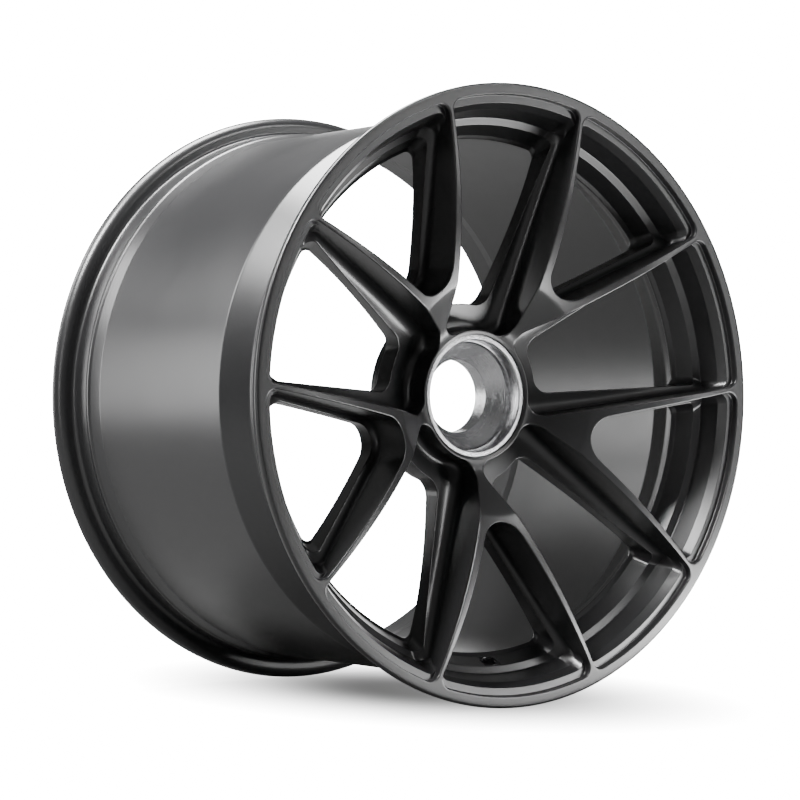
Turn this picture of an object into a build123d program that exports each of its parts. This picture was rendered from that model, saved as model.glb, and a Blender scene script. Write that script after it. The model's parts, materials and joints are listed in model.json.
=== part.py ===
"""Forged centre-lock racing wheel, 20 x 12.5 in, with its nut seat and drive pin bushes.

The wheel spins about +Y.  The origin is the wheel centre: on the spin axis, halfway between
the two flange tips.  The outboard face looks along -Y and +Z is up.  All sizes are in mm.
A section of the wheel is drawn as points of radius and depth, where depth runs along +Y
from the plane of the front flange tips.
"""
from build123d import *
from math import atan2, cos, hypot, radians, sin, sqrt, tan
import os

# ---- rim, tyre side ----
bead_seat_diameter = 508.0
rim_width = 317.5              # between the two bead faces
flange_height = 17.3
flange_lip_radius = 9.5        # the curl of the flange, on the tyre side
flange_tip_land = 0.45         # flat tip ahead of the curl
flange_edge_radius = 2.5       # outer corner of the flange, on the open side
bead_seat_taper = 5.0          # degrees
bead_corner_radius = 6.5
corner_share = 0.29            # where the middle of a rounded corner lies, in radii
hump_offset = 22.5             # hump centre from the bead face
hump_height = 1.4
hump_half_width = 3.5
well_depth = 18.0              # below the bead seat
well_start = 47.0              # depth of the front end of the well floor
well_end = 62.0
barrel_start = 89.0            # depth where the long plain barrel begins
barrel_drop = 4.8              # plain barrel below the bead seat
barrel_rear_gap = 12.0         # from the rear hump to the end of the plain barrel

# ---- rim, brake side ----
barrel_wall = 4.8
well_wall = 5.6
bead_wall = 6.2
flange_wall = 13.3             # from the tip circle in to the open side of the rear flange
rear_slope = 9.0               # length of the slope from the rear flange in to the bead wall
bead_wall_draft = 1.5          # the inside is smaller by this much at the hump
barrel_inner_lag = 4.0         # the plain inside begins this much behind the plain outside
rim_back_round = 3.0           # depth of the rounded lip behind the windows
rim_back_in = 4.0              # the spoke backs begin this far inside the well wall
rim_lip_in = 1.0               # and the lip is drawn in by this much

# ---- outer ring of the face and the steps inside the windows, inwards from the tip circle ----
outer_ring_width = 10.1        # the outer ring, which the spoke faces run into
ring_wall_draft = 0.5          # the wall below the ring leans in by this much
step_depth = 4.2               # depth of the flat step inside the ring
step_width = 7.0
bevel_depth = 11.9             # the bevel from the step ends here
bevel_width = 4.7
pocket_depth = 28.9            # the wall inside the bevel ends here
pocket_lean = 5.7              # and leans in by this much
shelf_depth = 32.0             # the narrow shelf below that wall
shelf_width = 6.2
apron_depth = 46.5             # the sloped apron ends here
apron_width = 7.6
apron_lip = 2.5                # depth of the lip between the apron and the open window
apron_lip_width = 3.4
rim_back_depth = 52.0          # back of the spokes at the barrel

# ---- spoke face and back ----
face_flat_width = 31.3         # the face is flat this far in from the tip circle
face_arc_radius = 350.0        # and sweeps back on this arc inside it
face_break_radius = 105.0      # ring where the face turns down to the hub
hub_lip_depth = 58.2
hub_lip_radius = 54.0
hub_shoulder_radius = 60.0
hub_shoulder_drop = 1.6        # shoulder ahead of the lip
hub_back_radius = 80.0
hub_pad_depth = 108.7
hub_drum_length = 14.0         # plain drum ahead of the pad
pad_chamfer = 2.0
spoke_back_start = 10.0        # the back leaves the hub drum this far out
spoke_back_depths = [96.0, 79.0, 63.0, 53.5]
spoke_back_radii = [125.0, 165.0, 205.0]

# ---- twin spokes ----
group_count = 5
group_start_angle = -90.0
arm_rim_gap = 9.3              # arms are set out this far in from the tip circle
arm_rim_angle = 19.7           # arm centre off the group axis, at the rim
arm_angle = 27.1               # arm direction off the group axis
arm_rim_width = 4.0
arm_root_width = 8.0
arm_root_u = 125.0             # where the root width is measured, along the group axis
crotch_radius = 111.0          # inner end of the fork window, from the wheel centre
ring_fillet = 10.0             # corners of the windows at the outer ring
hub_window_radius = 58.5       # inner end of the wide window, in the face
hub_window_fillet = 14.0

# ---- pockets behind the face ----
floor_hub_depth = 76.0         # depth of the pocket floor at the hub radius
floor_rim_depth = 18.6         # and at the outer ring
floor_fillet = 9.0             # ball-nosed foot of the pocket walls
fork_ledge = 6.0               # width of the ledge inside the fork window
arm_ledge_root = 14.0          # ledge of the wide window, at the hub
arm_ledge_rim = 2.5            # and at the rim
foot_search = 1.5              # an edge this near the floor cone is part of the foot
window_corner = 9.0            # corners of the through windows
hub_web = 2.5                  # ledge left round the back of the hub

# ---- centre ----
bore_diameter = 65.2
seat_large_radius = 47.2
seat_large_depth = 73.1
seat_small_depth = 85.1
seat_wall_radius = 49.5        # plain wall between the lip and the seat
lip_groove_depth = 1.0
insert_body_radius = 51.5
insert_back_depth = 93.0       # shoulder that bears on the web of the forging
insert_relief = 3.0            # length of the undercut ahead of the cone
tail_wall = 5.4                # reduced end of the insert, through the web
tail_gap = 0.5                 # the tail ends this far ahead of the register
lip_thickness = 3.0
ring_section = 2.4             # thickness of the snap ring that holds the insert
ring_groove = 1.5              # depth of its groove in the tail
ring_width = 4.5               # radial width of the snap ring
ring_clearance = 0.5           # round the outside of the ring
ring_recess_depth = 3.4        # from the bottom of the register to the ring's seat
ring_gap_angle = 24.0          # opening of the snap ring
register_diameter = 84.0
register_length = 7.0
fit = 0.0                      # pressed pieces are drawn size for size

# ---- drive pin bushes and valve ----
pin_circle_diameter = 130.0
pin_diameter = 14.5
bush_outer_diameter = 21.0
bush_length = 24.0
bush_flange_diameter = 23.0
bush_flange_thickness = 2.0
bush_edge = 0.8
valve_hole_diameter = 11.3
valve_recess_diameter = 17.5
valve_recess_depth = 1.2
valve_angle = -90.0
valve_depth = 38.5

# ---- where the drawing of the forging is divided ----
rim_split_depth = 62.0         # the barrel behind this depth is its own solid
hub_split_gap = 8.0            # the spoke roots this near the hub drum go with the hub

# ---- worked out from the sizes above ----
bead_radius = bead_seat_diameter / 2
tip_radius = bead_radius + flange_height
tip_gap = rim_width + 2 * (flange_lip_radius + flange_tip_land)
ring_inner_radius = tip_radius - outer_ring_width
step_inner_radius = ring_inner_radius - step_width
bevel_inner_radius = step_inner_radius - bevel_width
pocket_inner_radius = bevel_inner_radius - pocket_lean
shelf_inner_radius = pocket_inner_radius - shelf_width
apron_inner_radius = shelf_inner_radius - apron_width
window_rim_radius = apron_inner_radius - apron_lip_width
face_flat_radius = tip_radius - face_flat_width
arm_rim_radius = tip_radius - arm_rim_gap
floor_slope = (floor_hub_depth - floor_rim_depth) / (ring_inner_radius - hub_back_radius)
spoke_back_points = list(zip([hub_back_radius + spoke_back_start] + spoke_back_radii, spoke_back_depths))
hub_split_radius = hub_back_radius + hub_split_gap
tail_radius = bore_diameter / 2 + tail_wall
half_width = tip_gap / 2
face_depth = -2.0
well_radius = bead_radius - well_depth
barrel_radius = bead_radius - barrel_drop
well_inner = well_radius - well_wall
register_floor = hub_pad_depth - register_length
ring_seat = register_floor - ring_recess_depth
tail_end = register_floor - tail_gap
ring_inner = tail_radius - ring_groove
ring_outer = ring_inner + ring_width
barrel_inner = barrel_radius - barrel_wall
front_bead = flange_lip_radius + flange_tip_land
far = 2 * (tip_gap + tip_radius)   # beyond the wheel in every direction
overrun = 20.0                 # a cutter starts this far ahead of the face
reach = 3.0                    # and passes the ring by this much
close = 0.01                   # points nearer than this are the same


def face(radius):
    """Depth of the spoke face: flat, then an arc that sweeps back towards the hub."""
    inside = max(face_flat_radius - radius, 0.0)
    return face_depth + face_arc_radius - sqrt(face_arc_radius ** 2 - inside ** 2)


def floor(radius):
    """Depth of the pocket floor, a cone about the wheel axis."""
    return floor_hub_depth - floor_slope * (radius - hub_back_radius)


def P(depth, radius):
    """Section point in the plane X = radius, Y = along the axle."""
    return (radius, depth - half_width)


def spin(points):
    """Turn a closed section of (depth, radius) points about the wheel axis."""
    outline = Polyline(*[P(d, r) for d, r in points], close=True)
    return revolve(make_face(outline), Axis.Y)


def arc_points(centre, radius, start, end, steps=6):
    """Points on an arc in the section; angles in degrees from +radius towards +depth."""
    turn = [radians(start + (end - start) * k / steps) for k in range(steps + 1)]
    return [(centre[0] + radius * sin(t), centre[1] + radius * cos(t)) for t in turn]


def bead_line(distance):
    """Radius of the bead seat at a distance from the bead face."""
    return bead_radius - distance * tan(radians(bead_seat_taper))


def tyre_side_half():
    """Flange, bead seat and hump as (distance from the flange tip plane, radius)."""
    edge = arc_points((face_depth + flange_edge_radius, tip_radius - flange_edge_radius),
                      flange_edge_radius, -90, 0)
    curl = arc_points((flange_tip_land, tip_radius - flange_lip_radius), flange_lip_radius, 0, 90, 10)
    corner_end = front_bead + bead_corner_radius
    middle = corner_share * bead_corner_radius
    corner = [(front_bead, bead_line(0) + bead_corner_radius),
              (front_bead + middle, bead_line(0) + middle),
              (corner_end, bead_line(bead_corner_radius))]
    hump = front_bead + hump_offset
    top = bead_line(hump_offset) + hump_height
    crest = [(hump - hump_half_width, bead_line(hump_offset - hump_half_width)),
             (hump - 0.4 * hump_half_width, top), (hump + 0.4 * hump_half_width, top),
             (hump + hump_half_width, bead_line(hump_offset))]
    return edge + curl + corner + crest


def spoke_back():
    """Section points of the spoke backs, from the hub to the barrel."""
    return [(d, r) for r, d in spoke_back_points]


def forging_section():
    """Closed section of the forged blank after turning, before the windows are milled."""
    front = tyre_side_half()
    rear = [(tip_gap - d, r) for d, r in reversed(front)]
    hump_end = tip_gap - (front_bead + hump_offset + hump_half_width)
    tyre = front + [(well_start, well_radius), (well_end, well_radius),
                    (barrel_start, barrel_radius), (hump_end - barrel_rear_gap, barrel_radius)] + rear
    rear_face = tip_gap - face_depth
    brake = [(rear_face, tip_radius - flange_wall), (rear_face - rear_slope, bead_radius - bead_wall),
             (hump_end, bead_radius - bead_wall - bead_wall_draft), (hump_end - barrel_rear_gap, barrel_inner),
             (barrel_start + barrel_inner_lag, barrel_inner), (well_end, well_inner),
             (rim_back_depth + rim_back_round, well_inner - rim_lip_in), (rim_back_depth, well_inner - rim_back_in)]
    hub = [(hub_pad_depth - hub_drum_length, hub_back_radius), (hub_pad_depth - pad_chamfer, hub_back_radius),
           (hub_pad_depth, hub_back_radius - pad_chamfer)]
    register = register_diameter / 2
    recess = ring_outer + ring_clearance
    centre = [(hub_pad_depth, register), (register_floor, register), (register_floor, recess),
              (ring_seat, recess), (ring_seat, tail_radius + fit),
              (insert_back_depth, tail_radius + fit), (insert_back_depth, insert_body_radius + fit),
              (hub_lip_depth + lip_thickness, insert_body_radius + fit),
              (hub_lip_depth + lip_thickness, hub_lip_radius + fit)]
    shoulder = [(hub_lip_depth, hub_lip_radius + fit),
                (hub_lip_depth - hub_shoulder_drop, hub_shoulder_radius)]
    radii = [face_break_radius + (face_flat_radius - face_break_radius) * k / 12 for k in range(13)]
    front_face = [(face(r), r) for r in radii]
    return (tyre + brake + list(reversed(spoke_back())) + hub + centre + shoulder + front_face
            + [(face_depth, ring_inner_radius)])


def arm_edge(side, at_u, extra=0.0):
    """Point on an arm's face edge; side +1 is the wide-window edge, -1 the fork edge."""
    rim_u = arm_rim_radius * cos(radians(arm_rim_angle))
    rim_v = arm_rim_radius * sin(radians(arm_rim_angle))
    share = (rim_u - at_u) / (rim_u - arm_root_u)
    width = arm_rim_width + (arm_root_width - arm_rim_width) * share
    offset = side * (width / 2 + extra) / cos(radians(arm_angle))
    return Vector(at_u, rim_v - (rim_u - at_u) * tan(radians(arm_angle)) + offset)


def meet(a, b, radius):
    """Point where the line from a through b reaches a radius from the wheel centre."""
    step = b - a
    qa = step.dot(step)
    qb = 2 * a.dot(step)
    qc = a.dot(a) - radius ** 2
    return a + step * ((-qb + sqrt(qb * qb - 4 * qa * qc)) / (2 * qa))


def mirrored(point):
    return Vector(point.X, -point.Y)


def corner_vertices(shape, point):
    """The vertices of a face at a point and at its mirror image across the X axis."""
    return [v for v in shape.vertices() if hypot(v.X - point.X, abs(v.Y) - abs(point.Y)) < close]


def fork_outline(ledge, outer_radius, corner):
    """Fork window in the group's frame: two arms' inner edges, a round crotch and a rim arc."""
    near = arm_edge(-1, arm_root_u, ledge)
    away = arm_edge(-1, arm_rim_radius, ledge)
    slope = (away.Y - near.Y) / (away.X - near.X)
    tip = Vector(near.X - near.Y / slope, 0)
    half = atan2(away.Y - near.Y, away.X - near.X)
    round_radius = (crotch_radius + ledge - tip.X) * sin(half) / (1 - sin(half))
    outer = meet(near, away, outer_radius)
    shape = make_face(Wire([Line(tip, outer), ThreePointArc(outer, Vector(outer_radius, 0), mirrored(outer)),
                            Line(mirrored(outer), tip)]))
    shape = fillet(corner_vertices(shape, outer), corner)
    return fillet(corner_vertices(shape, tip), round_radius)


def wide_outline(ledge_in, ledge_out, inner_radius, outer_radius, corner_in, corner_out):
    """Wide window between two groups, drawn about the X axis."""
    back = -180.0 / group_count
    near = mirrored(arm_edge(1, arm_root_u, ledge_in).rotate(Axis.Z, back))
    away = mirrored(arm_edge(1, arm_rim_radius * cos(radians(arm_rim_angle)), ledge_out).rotate(Axis.Z, back))
    outer = meet(near, away, outer_radius)
    inner = meet(near, away, inner_radius)
    shape = make_face(Wire([ThreePointArc(mirrored(inner), Vector(inner_radius, 0), inner), Line(inner, outer),
                            ThreePointArc(outer, Vector(outer_radius, 0), mirrored(outer)),
                            Line(mirrored(outer), mirrored(inner))]))
    shape = fillet(corner_vertices(shape, outer), corner_out)
    return fillet(corner_vertices(shape, inner), corner_in)


def to_wheel(outline, angle):
    """Stand a window outline up in the wheel's XZ plane, turned to its place."""
    return Rot(0, -angle, 0) * (Rot(90, 0, 0) * outline)


def prism(outline, angle):
    """Window outline carried through the whole width of the wheel."""
    standing = Pos(0, far / 2, 0) * to_wheel(outline, angle)
    return extrude(standing, far, dir=(0, -1, 0))


def rim_envelope():
    """The steps that every window keeps on its rim side, as a solid of revolution."""
    front = face_depth - overrun
    return spin([(front, 0), (front, ring_inner_radius), (step_depth, ring_inner_radius - ring_wall_draft),
                 (step_depth, step_inner_radius), (bevel_depth, bevel_inner_radius),
                 (pocket_depth, pocket_inner_radius), (shelf_depth, shelf_inner_radius),
                 (apron_depth, apron_inner_radius), (apron_depth + apron_lip, window_rim_radius),
                 (far / 2, window_rim_radius), (far / 2, 0)])


def floor_cut():
    """Everything ahead of the pocket floor."""
    front = face_depth - overrun
    outer = ring_inner_radius + 2 * reach
    return spin([(front, 0), (front, outer), (floor(outer), outer), (floor(0), 0)])


def pocket(outline):
    """Blind pocket down to the floor cone, with a ball-nosed foot."""
    tool = prism(outline, 0) & floor_cut()
    foot = [e for e in tool.edges()
            if abs(depth_of(e) - floor(hypot(e.center().X, e.center().Z))) < foot_search]
    return fillet(foot, floor_fillet)


def depth_of(edge):
    return edge.center().Y + half_width


def fork_tool():
    """Cutter of one fork window: a pocket with a ledge round it and the window through it."""
    front = pocket(fork_outline(0.0, ring_inner_radius + reach, ring_fillet))
    through = prism(fork_outline(fork_ledge, bevel_inner_radius, window_corner), 0)
    return front + through


def wide_tool():
    """Cutter of one wide window between two groups."""
    front = pocket(wide_outline(0.0, 0.0, hub_window_radius, ring_inner_radius + reach,
                                hub_window_fillet, ring_fillet))
    through = prism(wide_outline(arm_ledge_root, arm_ledge_rim, hub_back_radius + hub_web, bevel_inner_radius,
                                 window_corner, window_corner), 0)
    return front + through


def around(shape, start=0.0):
    """The same shape once for each spoke group."""
    angles = [group_start_angle + start + 360.0 / group_count * k for k in range(group_count)]
    return [Rot(0, -angle, 0) * shape for angle in angles]


def valve_bore():
    """Valve hole square to the sloped apron, with its shallow recess."""
    slope = atan2(shelf_inner_radius - apron_inner_radius, apron_depth - shelf_depth)
    radius = shelf_inner_radius - (valve_depth - shelf_depth) * tan(slope)
    y = valve_depth - half_width
    plane = Plane(origin=(radius, y, 0), x_dir=(0, 0, 1), z_dir=(cos(slope), sin(slope), 0))
    hole = plane * Cylinder(valve_hole_diameter / 2, 3 * overrun)
    spot_face = Cylinder(valve_recess_diameter / 2, overrun)
    recess = plane * Pos(0, 0, valve_recess_depth - overrun / 2) * spot_face
    return Rot(0, -valve_angle, 0) * (hole + recess)


def along_axle(radius, start, end):
    """Cylinder about the wheel axis between two depths."""
    return spin([(start, 0), (start, radius), (end, radius), (end, 0)])


def bush_places():
    """The drive pins sit behind the spoke groups, on the pin circle."""
    angles = [group_start_angle + 360.0 / group_count * k for k in range(group_count)]
    radius = pin_circle_diameter / 2
    return [(radius * cos(radians(a)), radius * sin(radians(a))) for a in angles]


def bush_blank(extra=0.0):
    """Outer shape of one bush on the wheel axis, flange flush with the hub pad."""
    flange_start = hub_pad_depth - bush_flange_thickness
    body = along_axle(bush_outer_diameter / 2 + extra, hub_pad_depth - bush_length, flange_start)
    return body + along_axle(bush_flange_diameter / 2 + extra, flange_start, hub_pad_depth)


def bush():
    """Steel drive pin bush: a flanged sleeve with a blind pin bore and a lead-in."""
    bore = along_axle(pin_diameter / 2, hub_pad_depth - bush_length + bush_flange_thickness, hub_pad_depth)
    lead = spin([(hub_pad_depth - bush_edge, 0), (hub_pad_depth - bush_edge, pin_diameter / 2),
                 (hub_pad_depth, pin_diameter / 2 + bush_edge), (hub_pad_depth, 0)])
    return bush_blank() - bore - lead


def wheel_forging():
    """The monoblock: turned blank, milled windows, valve hole and bush holes."""
    windows = around(fork_tool() & rim_envelope()) + around(wide_tool() & rim_envelope(), 180.0 / group_count)
    body = spin(forging_section()) - windows
    body = body - valve_bore()
    return body - [Pos(x, 0, z) * bush_blank(fit) for x, z in bush_places()]


def nut_seat_insert():
    """Turned seat of the centre nut: bright lip, cone, pressed body and grooved tail."""
    groove = lip_groove_depth
    bore = bore_diameter / 2
    relief = seat_large_depth - insert_relief
    return spin([(hub_lip_depth, hub_lip_radius), (hub_lip_depth, seat_wall_radius + groove),
                 (hub_lip_depth + groove, seat_wall_radius), (relief, seat_wall_radius),
                 (relief, seat_wall_radius - groove), (seat_large_depth, seat_large_radius),
                 (seat_small_depth, bore), (tail_end, bore), (tail_end, tail_radius),
                 (ring_seat + ring_section, tail_radius), (ring_seat + ring_section, ring_inner),
                 (ring_seat, ring_inner), (ring_seat, tail_radius),
                 (insert_back_depth, tail_radius), (insert_back_depth, insert_body_radius),
                 (hub_lip_depth + lip_thickness, insert_body_radius),
                 (hub_lip_depth + lip_thickness, hub_lip_radius)])


def retaining_ring():
    """Snap ring in the groove of the insert's tail, open over a small angle at the bottom."""
    end = ring_seat + ring_section
    ring = spin([(ring_seat, ring_inner), (ring_seat, ring_outer), (end, ring_outer), (end, ring_inner)])
    width = 2 * ring_inner * sin(radians(ring_gap_angle / 2))
    gap = Box(width, 3 * ring_section, ring_outer)
    return ring - Pos(0, ring_seat - half_width, -ring_outer) * gap


def wheel_pieces():
    """The one forging, drawn as three solids that meet without a gap: hub, spokes and barrel."""
    body = wheel_forging()
    hub_zone = along_axle(hub_split_radius, -far, far)
    barrel_zone = along_axle(far, rim_split_depth, far) - along_axle(window_rim_radius, -far, far)
    return body & hub_zone, body - hub_zone - barrel_zone, body & barrel_zone


hub, spokes, barrel = wheel_pieces()
parts = {"wheel_hub": hub, "wheel_spokes": spokes, "wheel_barrel": barrel,
         "nut_seat_insert": nut_seat_insert(), "insert_retaining_ring": retaining_ring()}
for number, (x, z) in enumerate(bush_places(), start=1):
    parts[f"drive_pin_bush_{number}"] = Pos(x, 0, z) * bush()

os.makedirs("parts", exist_ok=True)
for name, shape in parts.items():
    export_step(shape, f"parts/{name}.step")
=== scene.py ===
# %% [markdown]
# # A forged centre-lock racing wheel
# The wheel is one forging, turned on a lathe and then milled. So its mesh is made the same way
# here: turned surfaces are profiles spun about the axle, and every window is one closed curve
# carried down through the metal. All of it is numpy arithmetic on grids, which keeps each
# edge radius exact and the highlights clean.
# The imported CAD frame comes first. It fixes where everything is, and it isn't changed.

# %% Load the frame
import json
import math

import bpy
import numpy as np
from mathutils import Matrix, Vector
from mathutils.geometry import delaunay_2d_cdt

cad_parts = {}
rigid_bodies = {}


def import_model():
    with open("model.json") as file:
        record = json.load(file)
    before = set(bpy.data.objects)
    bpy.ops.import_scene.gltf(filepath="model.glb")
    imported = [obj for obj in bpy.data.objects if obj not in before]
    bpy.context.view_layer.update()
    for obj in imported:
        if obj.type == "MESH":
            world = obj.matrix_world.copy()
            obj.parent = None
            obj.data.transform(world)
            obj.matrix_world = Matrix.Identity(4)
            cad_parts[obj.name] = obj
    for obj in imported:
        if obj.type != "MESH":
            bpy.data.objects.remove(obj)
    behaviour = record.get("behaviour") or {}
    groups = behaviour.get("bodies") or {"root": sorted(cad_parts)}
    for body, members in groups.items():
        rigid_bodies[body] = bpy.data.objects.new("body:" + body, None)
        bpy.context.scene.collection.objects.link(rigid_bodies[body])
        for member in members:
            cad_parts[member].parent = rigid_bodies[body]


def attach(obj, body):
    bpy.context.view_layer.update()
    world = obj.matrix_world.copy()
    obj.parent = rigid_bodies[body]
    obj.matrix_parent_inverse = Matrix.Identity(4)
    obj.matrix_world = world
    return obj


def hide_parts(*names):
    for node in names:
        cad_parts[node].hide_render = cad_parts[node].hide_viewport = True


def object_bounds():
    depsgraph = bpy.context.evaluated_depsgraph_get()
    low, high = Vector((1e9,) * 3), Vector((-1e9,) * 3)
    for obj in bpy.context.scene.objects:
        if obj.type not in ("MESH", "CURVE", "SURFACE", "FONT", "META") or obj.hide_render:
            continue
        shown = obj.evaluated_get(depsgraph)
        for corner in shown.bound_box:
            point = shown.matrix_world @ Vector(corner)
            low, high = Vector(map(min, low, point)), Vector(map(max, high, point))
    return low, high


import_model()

cad_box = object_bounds()
forging_low, forging_high = cad_box
MM = 0.001
print("CAD box", [round(v, 4) for v in cad_box[0]], [round(v, 4) for v in cad_box[1]])

# %% [markdown]
# ## The wheel's own measures
# Lengths are in millimetres, as on a wheel maker's drawing. A section point is a radius and a
# depth, where depth runs inboard from the plane of the front flange tips. The frame gives the
# place of that plane, and the tip radius.

# %% Sizes of the wheel
face_depth = -2.0                       # outer ring and spoke faces stand 2 mm ahead of the tips
tip_plane = forging_low[1] / MM - face_depth
tip_radius = forging_high[0] / MM
tip_gap = (forging_high[1] - forging_low[1]) / MM + 2 * face_depth
bead_radius = 254.0
lip_curl = 9.5                          # tyre side radius of each flange
tip_land = 0.45                         # flat tip ahead of the curl
tip_corner = 2.5                        # rounded corner of each flange, on its open side
front_bead = lip_curl + tip_land
seat_taper = math.radians(5.0)
hump_start, hump_front, hump_rear, hump_end = 19.0, 21.3, 23.7, 26.0   # from the bead face
hump_height = 1.4
ring_edge = 266.3                       # the outer ring is flat out to here
ring_inner = 261.2
shelf_edge = (32.0, 237.6)              # depth and radius where the shelf ends and the apron starts
apron_end = (46.5, 230.0)
well_start, well_end, well_radius = 47.0, 62.0, 236.0
barrel_start, barrel_radius = 89.0, 249.2
well_inner, barrel_inner = 230.4, 244.4
rim_back, window_rim = 52.0, 226.6
hub_radius, hub_web, pad_depth = 80.0, 2.5, 108.7
shoulder_depth, shoulder_radius = 56.6, 57.0
lip_depth, lip_radius = 58.2, 54.0
back_inner, back_outer, pad_ring = 80.6, 229.0, 77.2   # circles where the plates meet turned surfaces
pin_circle = 65.0                       # radius to the middle of each drive pin bush
bush_bore, bush_body, bush_flange = 7.25, 10.5, 11.5
web_front, web_back, insert_bore = 93.0, 101.2, 32.6
ROUND = 256                             # segments of a full turn
groups = [-90.0 + 72.0 * k for k in range(5)]
print(f"tips {2 * tip_radius:.1f} mm across and {tip_gap:.1f} mm apart")


# %% [markdown]
# ## Three surfaces of revolution hold the spokes
# The face is flat near the rim, sweeps back on a large arc, and turns down to the hub at a
# crease, where the deeper of arc and cone takes over. The pocket floor is a cone. The back is a
# power curve that thickens towards the hub.

# %% Face, pocket floor and back
flat_edge, face_arc = 240.0, 350.0      # the face is flat outside this radius, and an arc inside it
cone_foot = 64.0                        # radius where the cone levels out on the hub shoulder
cone_top_depth, cone_run = 25.14, 41.22
foot_round, crease_round = 6.0, 0.6
crease_limit = 160.0                    # outside this radius only the arc counts
floor_hub_depth, floor_slope = 76.0, 0.317
back_rise, back_power = 44.5, 1.6


def face(r):
    """Depth of the face: flat, then an arc, then a cone. With a difference d between two depths,
    half of d + sqrt(d squared + rounding squared) takes the deeper one and rounds the change."""
    r = np.asarray(r, float)
    sweep = face_depth + face_arc - np.sqrt(face_arc ** 2 - np.maximum(flat_edge - r, 0.0) ** 2)
    x = r - cone_foot
    slope = (shoulder_depth - cone_top_depth) / cone_run
    cone = shoulder_depth - slope * (x + np.sqrt(x * x + foot_round ** 2)) / 2
    crease = (cone + sweep + np.sqrt((cone - sweep) ** 2 + crease_round ** 2)) / 2
    return np.where(r < crease_limit, crease, sweep)


def floor(r):
    """Depth of the pocket floor: its depth at the hub less the slope times the way out from there."""
    return floor_hub_depth - floor_slope * (np.asarray(r, float) - hub_radius)


def back(r):
    """Depth of the spoke backs: the rim value plus a rise times a power of the way in to the hub."""
    share = np.clip((window_rim - np.asarray(r, float)) / (window_rim - hub_radius), 0.0, 1.0)
    return rim_back + back_rise * share ** back_power


print("face, floor and back at radius 150:", [round(float(f(150.0)), 1) for f in (face, floor, back)])


# %% [markdown]
# ## A mesh made of patches
# Each patch brings its own points and its own exact normals. Patches that share an edge share
# its points, so they are welded by position, while every face corner keeps its patch's normal.
# That gives one closed shell with the shading of the true surfaces.

# %% The patch collector
weld_cell = 2e-6                        # metres


def to_xyz(radius, angle, depth):
    """Wheel coordinates in metres: x = r cos a, y = depth, z = r sin a."""
    radius, angle, depth = np.broadcast_arrays(radius, angle, depth)
    xyz = np.stack([radius * np.cos(angle), depth + tip_plane, radius * np.sin(angle)], -1)
    return xyz * MM


class Shell:
    """Collects patches of points, normals and faces, and welds them into one mesh."""

    def __init__(self, name):
        self.name, self.points, self.normals, self.faces, self.count = name, [], [], [], 0

    def add(self, points, normals, faces):
        self.points.append(points.reshape(-1, 3))
        self.normals.append(normals.reshape(-1, 3))
        self.faces += [np.asarray(f) + self.count for f in faces]
        self.count += len(self.points[-1])

    def grid(self, points, flip=False, closed=True, keep=None):
        """Rows by columns of points. Normals are the cross product of the two chord directions.
        keep is a mask of the quads that stay."""
        rows, columns = points.shape[:2]
        along = np.gradient(points, axis=0)
        if closed:
            across = np.roll(points, -1, 1) - np.roll(points, 1, 1)
        else:
            across = np.gradient(points, axis=1)
        normals = np.cross(along, across)
        normals /= np.maximum(np.linalg.norm(normals, axis=-1, keepdims=True), 1e-15)
        spans = columns if closed else columns - 1
        i, j = np.meshgrid(np.arange(rows - 1), np.arange(spans), indexing="ij")
        here, below, k = i * columns, (i + 1) * columns, (j + 1) % columns
        quads = np.stack([here + j, below + j, below + k, here + k], -1)
        quads = quads.reshape(-1, 4) if keep is None else quads[keep]
        if flip:
            quads, normals = quads[:, ::-1], -normals
        self.add(points, normals, [quads])

    def mesh(self):
        """Weld the points and hand the arrays to Blender. Points are one when they share a cell of
        a fine grid, or of the same grid moved by half a cell, so no cell border parts a pair."""
        points, normals = np.concatenate(self.points), np.concatenate(self.normals)
        label = np.arange(len(points))
        for shift in (0.0, 0.5, 0.0, 0.5):
            cell = np.unique(np.round(points / weld_cell + shift), axis=0, return_inverse=True)[1].ravel()
            lowest = np.full(cell.max() + 1, len(points))
            np.minimum.at(lowest, cell, label)
            label = lowest[cell]
        first, same = np.unique(label, return_inverse=True)
        loops, corners = [], []
        for block in self.faces:
            welded = same[block]
            distinct = welded != np.roll(welded, -1, 1)
            for size in (3, 4):
                mask = distinct.sum(1) == size
                if block.shape[1] < size or not mask.any():
                    continue
                pick = distinct[mask]
                loops.append(welded[mask][pick].reshape(-1, size))
                corners.append(block[mask][pick].reshape(-1, size))
        sizes = np.concatenate([np.full(len(b), b.shape[1]) for b in loops])
        loop_index = np.concatenate([b.ravel() for b in loops])
        corner_index = np.concatenate([b.ravel() for b in corners])
        mesh = bpy.data.meshes.new(self.name)
        mesh.vertices.add(len(first))
        mesh.vertices.foreach_set("co", points[first].ravel())
        mesh.loops.add(len(loop_index))
        mesh.loops.foreach_set("vertex_index", loop_index.astype(np.int32))
        mesh.polygons.add(len(sizes))
        starts = np.concatenate([[0], np.cumsum(sizes)[:-1]])
        mesh.polygons.foreach_set("loop_start", starts.astype(np.int32))
        mesh.update(calc_edges=True)
        mesh.polygons.foreach_set("use_smooth", np.ones(len(sizes), bool))
        mesh.normals_split_custom_set(normals[corner_index].tolist())
        mesh.update()
        return mesh


def place(shell, *nodes, slot):
    """Make the object at the origin, on the wheel's one body, in place of its CAD nodes."""
    obj = bpy.data.objects.new(shell.name, shell.mesh())
    bpy.context.scene.collection.objects.link(obj)
    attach(obj, "root")
    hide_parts(*nodes)
    triangles = sum(len(p.vertices) - 2 for p in obj.data.polygons)
    edges = np.zeros(len(obj.data.loops), np.int32)
    obj.data.loops.foreach_get("edge_index", edges)
    open_edges = int((np.bincount(edges) != 2).sum())
    print(f"{shell.name}: {triangles} triangles, {open_edges} open edges")
    return obj


print("the top of the front tip circle:", to_xyz(tip_radius, math.pi / 2, 0.0).round(4).tolist())


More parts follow.
